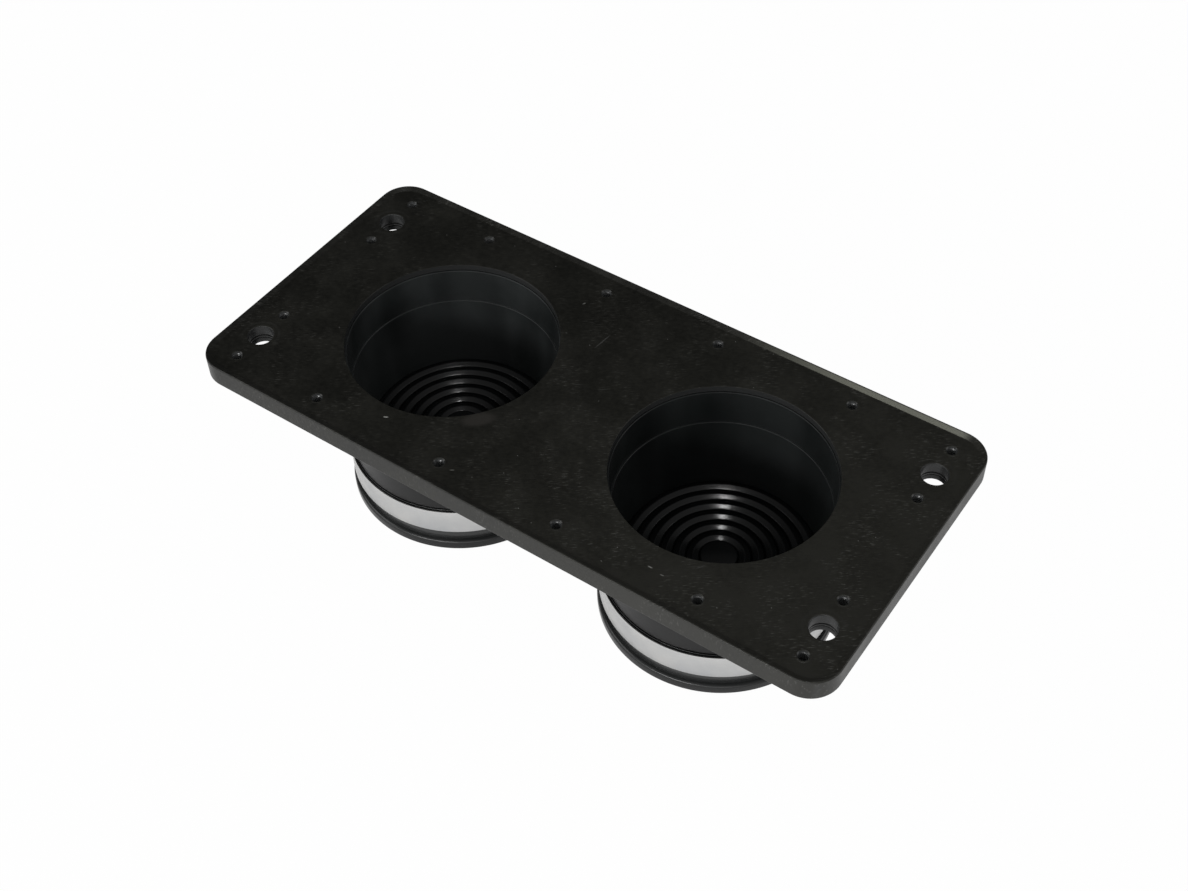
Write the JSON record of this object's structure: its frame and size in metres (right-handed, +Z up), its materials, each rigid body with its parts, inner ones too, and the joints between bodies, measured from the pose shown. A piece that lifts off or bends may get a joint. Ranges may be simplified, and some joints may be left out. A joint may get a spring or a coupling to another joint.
{
  "type": "cable entry plate",
  "caption": "Black plastic cable entry plate with round entries, each closed by a ribbed rubber boot under a steel clamp band.",
  "frame": {"origin": "centre of the plate's recessed top face, midway between the two entries", "axes": "+X along the plate, +Y to the long side that the clamp housings face, +Z up, out of the entries"},
  "size_m": [0.3304, 0.1526, 0.0882],
  "materials": {
    "plate_plastic": "satin",
    "sleeve_plastic": "satin",
    "boot_rubber": "satin",
    "band_steel": "satin",
    "screw_steel": "polished"
  },
  "bodies": {
    "root": {"mounting_plate": "plate_plastic", "left_neck_sleeve": "sleeve_plastic", "right_neck_sleeve": "sleeve_plastic", "left_boot": "boot_rubber", "right_boot": "boot_rubber", "left_clamp_band": "band_steel", "right_clamp_band": "band_steel", "left_clamp_housing": "band_steel", "right_clamp_housing": "band_steel", "left_clamp_screw": "screw_steel", "right_clamp_screw": "screw_steel"}
  },
  "joints": []
}
